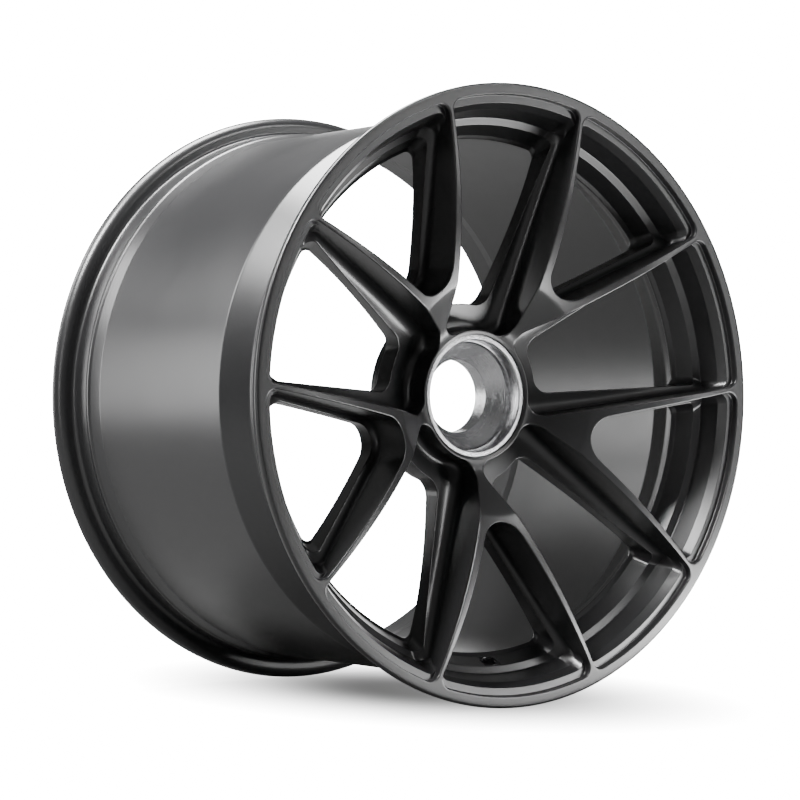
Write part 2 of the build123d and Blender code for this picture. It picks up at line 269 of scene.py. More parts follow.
# %% [markdown]
# ## Profiles with rounded corners
# A turned or milled profile is a few points with a radius at each corner. The helper puts a
# true arc at every corner, because a real edge is never sharp and the thin bright line on it
# is most of what makes machined metal look machined.

# %% Rounded profiles
def rounded(points, steps=4):
    """Polyline from (depth, radius, corner radius) triples; each corner becomes an arc tangent
    to both of its sides, set back along them by corner radius times tan(half the turn)."""
    p = np.array([q[:2] for q in points], float)
    out = [p[0]]
    for i in range(1, len(p) - 1):
        size = points[i][2] if len(points[i]) > 2 else 0.0
        before, after = p[i - 1] - p[i], p[i + 1] - p[i]
        lb, la = np.linalg.norm(before), np.linalg.norm(after)
        before, after = before / lb, after / la
        turn = math.pi - math.acos(float(np.clip(before @ after, -1, 1)))
        if size <= 0 or turn < 1e-3:
            out.append(p[i])
            continue
        setback = min(size * math.tan(turn / 2), 0.49 * lb, 0.49 * la)
        size = setback / math.tan(turn / 2)
        a, b = p[i] + before * setback, p[i] + after * setback
        middle = before + after
        centre = p[i] + middle / np.linalg.norm(middle) * size / math.cos(turn / 2)
        t = np.linspace(0, 1, steps + 1)[:, None]
        arc = (a - centre) * np.sin((1 - t) * turn) + (b - centre) * np.sin(t * turn)
        out.extend(centre + arc / math.sin(turn))
    out.append(p[-1])
    return np.array(out)


def turned(shell, profile, flip=False, keep=None):
    """Spin a (depth, radius) profile about the axle: x = r cos a, z = r sin a."""
    angle = np.arange(ROUND) * (2 * math.pi / ROUND)
    shell.grid(to_xyz(profile[:, 1:2], angle[None], profile[:, 0:1]), flip=flip, keep=keep)


print("a rounded right angle has", len(rounded([(0, 0), (1, 0, 0.2), (1, 1)])), "points")


# %% [markdown]
# ## Window outlines
# Five twin-arm spokes leave ten windows: a fork window inside each pair of arms, and a wide one
# between neighbouring pairs. Every outline is two straight arm edges, an arc at the rim and an
# arc at the hub end, with tangent corner arcs. The point count of each stretch is fixed, so
# outlines at different depths can be joined row to row.

# %% Arm edges and outlines
ARM_ANGLE = math.radians(27.1)          # arm direction off the group's own axis
ARM_RIM, ARM_RIM_ANGLE = 262.0, math.radians(19.7)   # where an arm's middle line meets the ring
RIM_U, RIM_V = ARM_RIM * math.cos(ARM_RIM_ANGLE), ARM_RIM * math.sin(ARM_RIM_ANGLE)
ROOT_U = 125.0                          # the root width is measured here, along the group's axis
RIM_WIDTH, ROOT_WIDTH = 4.0, 8.0
RIM_CORNER, HUB_CORNER = 10.0, 14.0     # window corners at the ring and beside the hub
CROTCH = 111.0                          # hub end of the fork window
HUB_END = 58.5                          # hub end of the wide window
# points on the hub arc, its corner, the arm's edge, the rim corner and half the rim arc
COUNTS = {"fork": (10, 0, 14, 8, 12), "wide": (7, 8, 16, 8, 12)}


def arm_edge(side, u, ledge):
    """Point on an arm edge: the arm's middle line plus or minus half its width and a ledge.
    The width grows evenly from the rim in to the root."""
    width = RIM_WIDTH + (ROOT_WIDTH - RIM_WIDTH) * (RIM_U - u) / (RIM_U - ROOT_U)
    v = RIM_V - (RIM_U - u) * math.tan(ARM_ANGLE) + side * (width / 2 + ledge) / math.cos(ARM_ANGLE)
    return np.array([u, v])


def turn2(p, angle):
    """Turn a plane point about the origin."""
    c, s = math.cos(angle), math.sin(angle)
    return np.array([c * p[0] - s * p[1], s * p[0] + c * p[1]])


def arc2(centre, a, b, steps):
    """Points from a to b about a centre, the short way round, without the last one."""
    ta, tb = math.atan2(*(a - centre)[::-1]), math.atan2(*(b - centre)[::-1])
    turn = (tb - ta + math.pi) % (2 * math.pi) - math.pi
    t = ta + turn * np.arange(steps) / steps
    return centre + np.linalg.norm(a - centre) * np.stack([np.cos(t), np.sin(t)], -1)


def touching(near, step, inward, corner, reach):
    """Centre of a corner circle, beside the arm edge by its own radius and at a reach from the
    axle: the far root of the quadratic |start + t step| = reach."""
    start = near + corner * inward
    b, c = start @ step, start @ start - reach ** 2
    return start + step * (-b + math.sqrt(b * b - c))


def outline(kind, ledge_in, ledge_out, inner, outer, corner, inner_corner):
    """Closed outline about the window's own axis, from the hub end round by the rim and back."""
    n_end, n_in, n_line, n_out, n_rim = COUNTS[kind]
    side = -1 if kind == "fork" else 1
    near, away = arm_edge(side, ROOT_U, ledge_in), arm_edge(side, RIM_U, ledge_out)
    if kind == "wide":
        near, away = (turn2(p, -math.pi / 5) * (1, -1) for p in (near, away))
    step = (away - near) / np.linalg.norm(away - near)
    inward = np.array([step[1], -step[0]])
    if kind == "fork":
        tip = near[0] - near[1] * step[0] / step[1]
        size = (inner - tip) * step[1] / (1 - step[1])
        centre = np.array([inner + size, 0.0])
        line_start = centre - size * inward
        runs = [arc2(centre, np.array([inner, 0.0]), line_start, n_end)]
    else:
        centre = touching(near, step, inward, inner_corner, inner + inner_corner)
        end = centre / np.linalg.norm(centre) * inner
        line_start = centre - inner_corner * inward
        runs = [arc2(np.zeros(2), np.array([inner, 0.0]), end, n_end)]
        runs.append(arc2(centre, end, line_start, n_in))
    centre = touching(near, step, inward, corner, outer - corner)
    line_end, rim_end = centre - corner * inward, centre / np.linalg.norm(centre) * outer
    runs.append(line_start + (line_end - line_start) * (np.arange(n_line) / n_line)[:, None])
    runs.append(arc2(centre, line_end, rim_end, n_out))
    runs.append(arc2(np.zeros(2), rim_end, np.array([outer, 0.0]), n_rim))
    half = np.concatenate(runs)
    return np.concatenate([half, [[outer, 0.0]], half[:0:-1] * (1, -1)])


def zones(kind):
    """Share of rim and of hub end at each outline point: 1 on its arc, easing to 0 over the
    corner by t t (3 - 2 t)."""
    n_end, n_in, n_line, n_out, n_rim = COUNTS[kind]
    ease = lambda t: t * t * (3 - 2 * t)
    n = n_end + n_in + n_line + n_out + n_rim
    rim, hub = np.zeros(n + 1), np.zeros(n + 1)
    corner = n_end + n_in + n_line
    rim[corner:corner + n_out] = ease(np.arange(n_out) / n_out)
    rim[corner + n_out:] = 1.0
    if kind == "wide":
        hub[:n_end] = 1.0
        hub[n_end:n_end + n_in] = 1 - ease(np.arange(n_in) / n_in)
    close = lambda w: np.concatenate([w, w[-2:0:-1]])
    return close(rim), close(hub)


for kind in COUNTS:
    hub_end = CROTCH if kind == "fork" else HUB_END
    loop = outline(kind, 0, 0, hub_end, ring_inner, RIM_CORNER, HUB_CORNER)
    long, wide = np.ptp(loop, axis=0)
    print(f"{kind} window: {len(loop)} points, {long:.0f} mm long, {wide:.0f} mm wide")


# %% [markdown]
# ## From the face to the back, row by row
# On its rim side a window shows the steps turned into the ring: a flat step, a bevel, a wall, a
# narrow shelf and the sloped apron. Along the arms the same rows make a plain wall, the ball-nosed
# foot of the cutter, a ledge, and the open window. Each row is one outline with its own depths.

# %% The rows of a window
edge_round, ledge_round, ball = 1.1, 0.8, 9.0
support = 0.35                          # one row on the flat, just before each rounding starts
quarter = np.linspace(0, math.pi / 2, 5)
wall_end, wall_shelf = (26.4, 244.6), (31.6, 238.4)   # depth and radius of turns in the ring's steps
wall_reach = 15.0                       # depth over which the rows of the wall spread out
FORK_LEDGE, WIDE_LEDGE = (6.0, 6.0), (14.0, 2.5)      # ledge along the arm, at its root and its rim


def window_rows():
    """Rows as dictionaries: radius and depth on the rim side, which part of the wall it is, and
    the row's share of that part on the arm side. out and down are the offsets of a rounding.
    Parts: 0 face edge, 1 wall, 2 foot and ledge, 3 ledge edge, 4 open window, 5 back edge."""
    flat = edge_round + support
    rows = [dict(rim=(ring_inner + flat, face_depth), part=0, out=-flat, down=0.0)]
    for t in quarter:
        out, down = edge_round * (1 - math.sin(t)), edge_round * (1 - math.cos(t))
        rows.append(dict(rim=(ring_inner + out, face_depth + down), part=0, out=-out, down=down))
    steps = rounded([(face_depth + edge_round, ring_inner), (4.2, 260.7, 1.0), (4.2, 254.2, 0.7),
                     (11.9, 249.5, 0.9), wall_end], 3)[1:]
    for i, (d, r) in enumerate(steps):
        rows.append(dict(rim=(r, d), part=1, share=min((d - face_depth) / wall_reach, 0.94) + 0.004 * i))
    rows[-1]["share"] = 1.0
    shelf = rounded([wall_end, (28.9, 243.8, 1.6), wall_shelf], 4)[1:]
    shelf = np.concatenate([shelf[:-1], np.linspace(shelf[-2], shelf[-1], 4)[1:]])
    for i, (d, r) in enumerate(shelf):
        rows.append(dict(rim=(r, d), part=2, share=1 - math.cos(math.pi / 2 * (i + 1) / len(shelf))))
    lip = rounded([wall_shelf, (*shelf_edge, 0.8), (33.4, 236.9)], 4)[1:-1]
    for t, (d, r) in zip(quarter, lip):
        out, down = ledge_round * (1 - math.sin(t)), ledge_round * (1 - math.cos(t))
        rows.append(dict(rim=(r, d), part=3, out=-out, down=down))
    apron = rounded([tuple(lip[-1]), (*apron_end, 2.2), (49.4, window_rim, 1.6),
                     (rim_back - edge_round, window_rim)], 3)[1:]
    apron = np.concatenate([np.linspace(lip[-1], apron[0], 4)[1:-1], apron])
    for i, (d, r) in enumerate(apron):
        rows.append(dict(rim=(r, d), part=4, share=(d - lip[-1][0]) / (rim_back - edge_round - lip[-1][0])))
    for t in quarter[1:]:
        out, down = edge_round * (1 - math.cos(t)), edge_round * (1 - math.sin(t))
        rows.append(dict(rim=(window_rim + out, rim_back - down), part=5, out=-out, down=-down))
    rows.append(dict(rim=(window_rim + flat, rim_back), part=5, out=-flat, down=0.0))
    return rows


def window_grid(kind, angle):
    """All rows of one window as points in metres. foot(x) is the depth of the cutter's ball foot
    at x from the wall: a quarter circle of the ball's radius that ends on the pocket floor."""
    rim, hub = zones(kind)
    start = CROTCH if kind == "fork" else HUB_END
    root, tip = FORK_LEDGE if kind == "fork" else WIDE_LEDGE
    hub_ledge = root if kind == "fork" else hub_radius + hub_web - HUB_END
    grid = []
    for row in window_rows():
        ledge = 0.0 if row["part"] < 2 else row["share"] if row["part"] == 2 else 1.0
        out = row.get("out", 0.0)
        full = [x - ledge_round if row["part"] == 2 else x for x in (root, tip, hub_ledge)]
        a, b, c = (ledge * x + out for x in full)
        corner = RIM_CORNER - min(row["part"], 2)
        uv = outline(kind, a, b, start + c, row["rim"][0], corner, HUB_CORNER)
        r = np.hypot(uv[:, 0], uv[:, 1])
        along = np.clip((uv[:, 0] - ROOT_U) / (RIM_U - ROOT_U), 0, 1)
        x = (a + (b - a) * along) * (1 - hub) + c * hub
        foot = lambda x: floor(r) - ball + np.sqrt(ball ** 2 - (ball - np.clip(x, 0, ball)) ** 2)
        ledge_x = (root + (tip - root) * along) * (1 - hub) + hub_ledge * hub
        if row["part"] == 0:
            depth = face(r) + row["down"]
        elif row["part"] == 1:
            depth = face(r) + edge_round + row["share"] * (floor(r) - ball - face(r) - edge_round)
        elif row["part"] == 2:
            depth = foot(x)
        elif row["part"] == 3:
            depth = foot(ledge_x - ledge_round) + row["down"]
        elif row["part"] == 4:
            top = foot(ledge_x - ledge_round) + ledge_round
            depth = top + row["share"] * (back(r) - edge_round - top)
        else:
            depth = back(r) + row["down"]
        if row["part"] in (1, 2, 3, 4):
            depth = depth * (1 - rim) + row["rim"][1] * rim
        x, z = turn2(uv.T, math.radians(angle))
        grid.append(np.stack([x, depth + tip_plane, z], -1) * MM)
    return np.array(grid)


print("a fork window has", window_grid("fork", -90.0).shape[:2], "rows and columns")


# %% [markdown]
# ## Flat and swept faces between the windows
# The face and the back are plates with holes. A constrained triangulation joins the window
# outlines and the two circles in the plane, and the points are then lifted on to the surface.
# Its normals come from the surface's slope, so the triangles never show.

# %% Plates with holes
ring_gap = 1.6                          # an extra point stays this far from every border point


def circle(radius, segments=ROUND, centre=(0.0, 0.0)):
    """Points on a circle in the wheel's plane."""
    t = np.arange(segments) * (2 * math.pi / segments)
    return np.stack([centre[0] + radius * np.cos(t), centre[1] + radius * np.sin(t)], -1)


def within(points, loop):
    """True where a point is inside a closed loop: a ray from it crosses the loop an odd number
    of times."""
    a, b = loop, np.roll(loop, -1, 0)
    crosses = (a[None, :, 1] > points[:, None, 1]) != (b[None, :, 1] > points[:, None, 1])
    rise = np.where(b[:, 1] == a[:, 1], 1.0, b[:, 1] - a[:, 1])
    at = a[None, :, 0] + (points[:, None, 1] - a[None, :, 1]) * ((b - a)[:, 0] / rise)[None]
    return (crosses & (points[:, None, 0] < at)).sum(1) % 2 == 1


def plate(shell, loops, surface, rings, flip=False):
    """Triangles between closed loops, lifted on to depth = surface(radius). The normal at a point
    is (slope x / r, -1, slope z / r), where slope is the surface's rise over its radius."""
    edges, points, count = [], [], 0
    for loop in loops:
        n = len(loop)
        edges += [(count + i, count + (i + 1) % n) for i in range(n)]
        points.append(loop)
        count += n
    border = np.concatenate(points)
    extra = np.concatenate([circle(r, n) for r, n in rings]) if rings else np.zeros((0, 2))
    if len(extra):
        gap = np.sqrt(((extra[:, None] - border[None]) ** 2).sum(-1)).min(1)
        extra = extra[gap > ring_gap]
    flat = np.concatenate([border, extra])
    made = delaunay_2d_cdt([Vector(p) for p in flat], edges, [], 0, 1e-6)
    corners = np.array([tuple(v) for v in made[0]])
    triangles = np.array(made[2])
    middle = corners[triangles].mean(1)
    triangles = triangles[sum(within(middle, loop).astype(int) for loop in loops) % 2 == 1]
    r = np.hypot(corners[:, 0], corners[:, 1])
    slope = (surface(r + 0.05) - surface(r - 0.05)) / 0.1
    spoke = corners / np.maximum(r, 1e-9)[:, None]
    normals = np.stack([slope * spoke[:, 0], -np.ones_like(r), slope * spoke[:, 1]], -1)
    normals /= np.linalg.norm(normals, axis=1, keepdims=True)
    xyz = np.stack([corners[:, 0], surface(r) + tip_plane, corners[:, 1]], -1) * MM
    shell.add(xyz, -normals if flip else normals, [triangles[:, ::-1] if flip else triangles])
    return len(triangles)


def loop_of(row):
    """The plane points, in millimetres, of one row of a grid."""
    return row[:, [0, 2]] / MM


ring_test = plate(Shell("test"), [circle(2.0, 12), circle(1.0, 12)], lambda r: 0.0 * r, [])
print("a plate between two circles of 12 points has", ring_test, "triangles")


# %% [markdown]
# ## The forging
# Now the pieces of the shell meet: ten windows, the face, the back, the tyre side with its bead
# seats and humps, the plain inner barrel, and the hub with its pad, register and lip.

# %% Tyre side and barrel
rear_gap = 12.0                         # from the rear hump to the end of the plain barrel


def flange_and_seat():
    """Distance from the tip plane and radius: flange curl, bead corner, tapered seat and hump."""
    curl = [(tip_land + lip_curl * math.sin(t), tip_radius - lip_curl * (1 - math.cos(t)))
            for t in np.linspace(0, math.pi / 2, 9)]
    seat = lambda x: bead_radius - x * math.tan(seat_taper)
    line = [(front_bead, bead_radius), (front_bead + hump_start, seat(hump_start), 4.0),
            (front_bead + hump_front, seat(hump_front) + hump_height, 3.0),
            (front_bead + hump_rear, seat(hump_rear) + hump_height, 3.0),
            (front_bead + hump_end, seat(hump_end))]
    foot = rounded([curl[-1], (front_bead, seat(0) + 0.1, 6.5), line[1][:2]], 5)[1:-1]
    crest = rounded([tuple(foot[-1])] + line[1:], 3)[1:]
    return np.concatenate([curl, foot, crest])


def with_run(profile):
    """Split the one long straight stretch of a profile into five, so that its quads stay short."""
    at = np.argmax(np.abs(np.diff(profile[:, 0])))
    run = np.linspace(profile[at], profile[at + 1], 6)[1:-1]
    return np.insert(profile, at + 1, run, 0)


def tyre_and_barrel():
    """The outline of the rim from the outer ring round to the back of the spokes."""
    tip = [(tip_corner + face_depth - tip_corner * math.cos(t),
            tip_radius - tip_corner + tip_corner * math.sin(t)) for t in np.linspace(0, math.pi / 2, 6)]
    half = flange_and_seat()
    rear = half[::-1] * (-1, 1) + (tip_gap, 0)
    valley = rounded([tuple(half[-1]), (well_start, well_radius, 6.0), (well_end, well_radius, 8.0),
                      (barrel_start, barrel_radius, 7.0), (rear[0][0] - rear_gap, barrel_radius, 7.0),
                      tuple(rear[0])], 4)[1:-1]
    valley = with_run(valley)
    tip_rear = [(tip_gap - tip_corner - face_depth + tip_corner * math.sin(t),
                 tip_radius - tip_corner + tip_corner * math.cos(t)) for t in np.linspace(0, math.pi / 2, 6)]
    rear_face = tip_gap - face_depth
    brake = rounded([tip_rear[-1], (rear_face, 258.0, 2.0), (rear_face - 9.0, 247.8, 6.0),
                     (rear[0][0], 246.3, 8.0), (rear[0][0] - rear_gap, barrel_inner, 6.0),
                     (barrel_start + 4.0, barrel_inner, 10.0), (well_end, well_inner, 12.0),
                     (rim_back, 230.3, 1.2), (rim_back, back_outer)], 4)[1:]
    return np.concatenate([[(face_depth, ring_edge)], tip, half[1:], valley, rear[:-1], tip_rear,
                           with_run(brake)])


rim_profile = tyre_and_barrel()
rim_profile = rim_profile[np.append(True, np.linalg.norm(np.diff(rim_profile, axis=0), axis=1) > 0.02)]
print("rim profile:", len(rim_profile), "points")

# %% Hub, pad and lip
pad_chamfer = 2.0
register_radius, register_end, register_ring = 42.0, 101.7, 43.6
recess_radius, recess_end = 41.5, 98.3  # the snap ring lies in this recess
tail_radius = 38.0
fit_gap = 0.05                          # clearance between a pressed piece and its seat


def hub_profiles():
    """Outside of the hub down to the pad, then register, ring recess, insert seat and lip."""
    back_depth = float(back(back_inner))
    outside = rounded([(back_depth, back_inner), (back_depth, hub_radius, 0.4),
                       (pad_depth - pad_chamfer, hub_radius, 0.6),
                       (pad_depth, hub_radius - pad_chamfer, 0.6), (pad_depth, pad_ring)], 3)
    web = web_front + fit_gap
    inside = rounded([(pad_depth, register_ring), (pad_depth, register_radius, 1.0),
                      (register_end, register_radius, 0.4), (register_end, recess_radius, 0.2),
                      (recess_end, recess_radius, 0.3), (recess_end, tail_radius + 0.1, 0.5),
                      (web, tail_radius + 0.1, 0.2), (web, 51.55, 0.3), (61.25, 51.55, 0.3),
                      (61.25, lip_radius + 0.03, 0.2), (58.0, lip_radius + 0.03, 0.0), (56.9, 54.6, 0.8),
                      (float(face(shoulder_radius)), shoulder_radius)], 3)
    return outside, inside


hub_outside, hub_inside = hub_profiles()
bush_places = [(pin_circle * math.cos(math.radians(a)), pin_circle * math.sin(math.radians(a)))
               for a in groups]
print("hub profiles:", len(hub_outside), "and", len(hub_inside), "points")

# %% [markdown]
# ## The valve hole
# The hole goes square through the sloped apron to the tyre side. Both surfaces lose a block of
# their grid there. Each hole rim is carried along the valve's axis on to the turned surface, and
# the gap between rim and block is triangulated in the plane of length and angle.

# %% Pierce a turned surface
HOLE_POINTS = 40
newton_step, newton_rounds = 1e-5, 8    # metres, and how often the step is taken


def pierce(shell, block, start, axis, size, sign):
    """Fill a block of grid points round a hole. A rim point is start + size (cos t e1 + sin t e2),
    moved along the axis by Newton steps until its radius is the profile's radius at its depth.
    sign is 1 on a surface that faces away from the axle and -1 on one that faces it."""
    depth, radius = block[:, :, 1].mean(1), np.hypot(block[:, :, 0], block[:, :, 2]).mean(1)
    length = np.append(0, np.cumsum(np.hypot(np.diff(depth), np.diff(radius))))
    home = math.atan2(start[2], start[0])
    e1 = np.array([-math.sin(home), 0.0, math.cos(home)])
    e2 = np.cross(axis, e1)
    t = np.arange(HOLE_POINTS) * (2 * math.pi / HOLE_POINTS)
    rim = start + size * (np.cos(t)[:, None] * e1 + np.sin(t)[:, None] * e2)
    gap = lambda p: np.hypot(p[:, 0], p[:, 2]) - np.interp(p[:, 1], depth, radius)
    for _ in range(newton_rounds):
        slope = (gap(rim + newton_step * axis) - gap(rim)) / newton_step
        rim = rim - (gap(rim) / slope)[:, None] * axis
    across = lambda p: radius.mean() * (np.arctan2(p[:, 2], p[:, 0]) - home)
    flat = lambda p: np.stack([np.interp(p[:, 1], depth, length), across(p)], -1)
    border = np.concatenate([block[0], block[1:, -1], block[-1, -2::-1], block[-2:0:-1, 0]])
    inner = block[1:-1, 1:-1].reshape(-1, 3)
    inner = inner[np.linalg.norm(flat(inner) - flat(rim).mean(0), axis=1) > 1.3 * size]
    points = np.concatenate([border, rim, inner])
    n = len(border)
    edges = [(i, (i + 1) % n) for i in range(n)]
    edges += [(n + i, n + (i + 1) % HOLE_POINTS) for i in range(HOLE_POINTS)]
    plane = flat(points)
    made = delaunay_2d_cdt([Vector(p) for p in plane], edges, [], 0, 1e-9)
    triangles = np.array(made[2])
    middle = plane[triangles].mean(1)
    triangles = triangles[within(middle, plane[:n]) & ~within(middle, plane[n:n + HOLE_POINTS])]
    lean = np.stack([np.gradient(depth, length), np.gradient(radius, length)], -1)
    td, tr = (np.interp(plane[:, 0], length, lean[:, k]) for k in (0, 1))
    around = np.arctan2(points[:, 2], points[:, 0])
    normals = sign * np.stack([td * np.cos(around), -tr, td * np.sin(around)], -1)
    normals /= np.linalg.norm(normals, axis=1, keepdims=True)
    a, b, c = (points[triangles[:, k]] for k in range(3))
    wrong = (np.cross(b - a, c - a) * normals[triangles[:, 0]]).sum(1) < 0
    triangles[wrong] = triangles[wrong][:, ::-1]
    shell.add(points, normals, [triangles])
    return rim


def hole_mask(rows, columns, row_range, column_range):
    """Which quads of a closed grid stay when a block of them is taken out."""
    keep = np.ones((rows - 1, columns), bool)
    keep[row_range[0]:row_range[1], column_range[0]:column_range[1]] = False
    return keep


valve_lean = math.atan2(shelf_edge[1] - apron_end[1], apron_end[0] - shelf_edge[0])
valve_axis = np.array([0.0, math.sin(valve_lean), -math.cos(valve_lean)])   # outwards, at the bottom
valve_angle = -90.0
valve_depth, valve_size = 39.4, 5.65    # the size is the hole's radius
valve_chamfer = 0.6
valve_radius = shelf_edge[1] - (valve_depth - shelf_edge[0]) * math.tan(valve_lean)
valve_start = np.array([0.0, valve_depth + tip_plane, -valve_radius]) * MM
print(f"valve hole: {2 * valve_size} mm across, {valve_radius:.1f} mm from the axle")

# %% [markdown]
# ## Join the patches
# The windows come first, because their first and last rows are the borders of the two plates.
# The lowest fork window loses the quads round the valve hole, and so does the tyre side.

# %% Windows
forging = Shell("wheel_forged")
window_sets = [("fork", g) for g in groups] + [("wide", g + 36.0) for g in groups]
fronts, backs = [], []
for kind, angle in window_sets:
    grid = window_grid(kind, angle)
    keep = None
    if kind == "fork" and angle == valve_angle:
        lip_end = [i for i, row in enumerate(window_rows()) if row["part"] == 3][-1]
        column = sum(COUNTS[kind])
        keep = hole_mask(*grid.shape[:2], (lip_end, lip_end + 3), (column - 2, column + 2))
        apron_rim = pierce(forging, grid[lip_end:lip_end + 4, column - 2:column + 3], valve_start,
                           valve_axis, (valve_size + valve_chamfer) * MM, -1)
    forging.grid(grid, keep=keep)
    fronts.append(loop_of(grid[0]))
    backs.append(loop_of(grid[-1]))
print(len(window_sets), "windows of", grid.shape[0], "rows")

# %% Turned surfaces and the valve hole
bottom = 3 * ROUND // 4                 # the column that points straight down
first = np.where(rim_profile[:, 0] > front_bead + hump_end - 0.01)[0]
first = first[rim_profile[first, 1] > well_radius][0]
last = first + np.where(rim_profile[first:, 0] > well_start + 6.0)[0][0]
turned(forging, rim_profile, keep=hole_mask(len(rim_profile), ROUND, (first, last), (bottom - 3, bottom + 3)))
column_angle = np.arange(bottom - 3, bottom + 4) * (2 * math.pi / ROUND)
tyre_block = rim_profile[first:last + 1]
tyre_block = to_xyz(tyre_block[:, 1:2], column_angle[None], tyre_block[:, 0:1])
tyre_rim = pierce(forging, tyre_block, valve_start + 9 * MM * valve_axis, valve_axis, valve_size * MM, 1)
inwards = (apron_rim.mean(0) - apron_rim) * (valve_chamfer / (valve_size + valve_chamfer))
chamfer_rim = apron_rim + inwards + valve_chamfer * MM * valve_axis
forging.grid(np.array([apron_rim, chamfer_rim, tyre_rim]), flip=True)
turned(forging, hub_outside)
turned(forging, hub_inside)
print("valve hole:", HOLE_POINTS, "points round each rim")

# %% Face and back
face_rings = [(r, int(2 * math.pi * r / 3.0))
              for r in (59.5, 62, 64.5, 67, 70, 74, 79, 85, 91, 96, 100, 109, 113)]
face_rings += [(r, 660) for r in (102.5, 103.6, 104.4, 105.0, 105.6, 106.4, 107.5)]
face_rings += [(r, int(2 * math.pi * r / 4.0)) for r in range(117, 252, 7)]
made = plate(forging, fronts + [circle(ring_edge), circle(shoulder_radius)], face, face_rings)
print("face:", made, "triangles")
back_rings = [(r, int(2 * math.pi * r / 7))
              for r in (86, 92, 99, 107, 116, 126, 137, 149, 162, 176, 191, 206, 218)]
made = plate(forging, backs + [circle(back_outer), circle(back_inner)], back, back_rings, flip=True)
print("back:", made, "triangles")

# %% Hub pad and bush holes
def spun_about(profile, place, segments):
    """Spin a (depth, radius) profile about a line beside the axle: x = cx + r cos t, z = cz + r sin t."""
    t = np.arange(segments) * (2 * math.pi / segments)
    x, z = (c + profile[:, 1:2] * turn(t) for c, turn in zip(place, (np.cos, np.sin)))
    return np.stack(np.broadcast_arrays(x, profile[:, 0:1] + tip_plane, z), -1) * MM


pad = lambda r: np.full_like(np.asarray(r, float), pad_depth)
bush_end, flange_depth = 84.7, 106.7    # front end of each bush, and the front of its flange
hole_edge = bush_flange + 0.1
holes = [circle(hole_edge, 48, c) for c in bush_places]
plate(forging, holes + [circle(pad_ring), circle(register_ring)], pad, [], flip=True)
bush_hole = rounded([(pad_depth, hole_edge), (pad_depth - 0.1, bush_flange, 0.05),
                     (flange_depth - fit_gap, bush_flange, 0.1),
                     (flange_depth - fit_gap, bush_body + fit_gap, 0.1),
                     (bush_end - 0.1, bush_body + fit_gap, 0.5), (bush_end - 0.1, 0.0)], 2)
for centre in bush_places:
    forging.grid(spun_about(bush_hole, centre, 48))
wheel = place(forging, "wheel_hub", "wheel_spokes", "wheel_barrel", slot="satin_black_paint")


# %% [markdown]
# ## The nut seat and its snap ring
# The centre nut bears on a separate turned insert: a bright lip, a plain wall, a short undercut
# and the cone. Its tail goes through the web of the hub, where a snap ring holds it. Both are
# profiles carried round the axle, and the ring stops short of a full turn.

# %% Nut seat insert
lip_back, body_radius, wall_radius = 61.2, 51.45, 49.5
groove_front, groove_back, groove_radius = 98.3, 100.8, 36.5   # the snap ring's groove in the tail
insert = Shell("nut_seat")
seat_profile = rounded([(62.0, body_radius), (lip_back, body_radius, 0.2), (lip_back, lip_radius, 0.2),
                        (lip_depth, lip_radius, 0.5), (lip_depth, 50.5, 0.4), (59.2, wall_radius, 0.3),
                        (70.1, wall_radius, 0.3), (70.1, 48.5, 0.3), (73.1, 47.2, 0.4),
                        (85.1, insert_bore, 0.8), (web_back, insert_bore, 0.6), (web_back, tail_radius, 0.5),
                        (groove_back, tail_radius, 0.2), (groove_back, groove_radius, 0.2),
                        (groove_front, groove_radius, 0.2), (groove_front, tail_radius, 0.2),
                        (web_front, tail_radius, 0.3), (web_front, body_radius, 0.5), (62.0, body_radius)], 4)
turned(insert, seat_profile[::-1])
nut_seat = place(insert, "nut_seat_insert", slot="turned_alloy")

# %% Snap ring
ring_front, ring_back, ring_in, ring_out, ring_corner = 98.35, 100.7, 36.6, 41.0, 0.35
half_gap = math.radians(12.0)           # the opening of the ring points down
snap = Shell("snap_ring")
section = rounded([(99.5, ring_out), (ring_front, ring_out, ring_corner), (ring_front, ring_in, ring_corner),
                   (ring_back, ring_in, ring_corner), (ring_back, ring_out, ring_corner),
                   (99.5, ring_out)], 4)
turn = np.linspace(-math.pi / 2 + half_gap, 1.5 * math.pi - half_gap, 181)
sweep = to_xyz(section[:, 1:2], turn[None], section[:, 0:1])
middle = sweep[:-1].mean(0)
snap.grid(sweep[::-1], closed=False)
for column, flip in ((0, False), (-1, True)):
    cap = np.stack([np.repeat(middle[column][None], len(section), 0), sweep[::-1][:, column]], 1)
    snap.grid(cap, flip=flip, closed=False)
ring = place(snap, "insert_retaining_ring", slot="spring_steel")

# %% [markdown]
# ## The drive pin bushes
# The hub's five pins push on hard steel bushes in the pad, because bare aluminium would wear.
# Each is one turned profile, spun about its own line.

# %% Drive pin bushes
mouth = 0.8                             # chamfer at the mouth of the bore
bush_floor = bush_end + 2.0
bush_profile = rounded([(bush_end, 0.0), (bush_end, bush_body, 0.6), (flange_depth, bush_body, 0.2),
                        (flange_depth, bush_flange, 0.2), (pad_depth, bush_flange, 0.35),
                        (pad_depth, bush_bore + mouth, 0.3), (pad_depth - mouth, bush_bore, 0.3),
                        (bush_floor, bush_bore, 0.8), (bush_floor, 0.0)], 3)
for number, centre in enumerate(bush_places, start=1):
    bush = Shell(f"drive_bush_{number}")
    bush.grid(spun_about(bush_profile, centre, 72))
    place(bush, f"drive_pin_bush_{number}", slot="bush_steel")


# %% [markdown]
# ## Finishes
# Satin powder coat is a dark plastic film over metal: an even dark colour, a broad highlight, a
# very fine orange peel, and slightly different gloss from place to place. One node group makes
# the orange peel and the gloss variation, and another makes the fine rings that a lathe leaves.

# %% Shader helpers
def material(name):
    """A new node material, its tree and its Principled shader."""
    made = bpy.data.materials.new(name)
    made.use_nodes = True
    return made, made.node_tree, made.node_tree.nodes["Principled BSDF"]


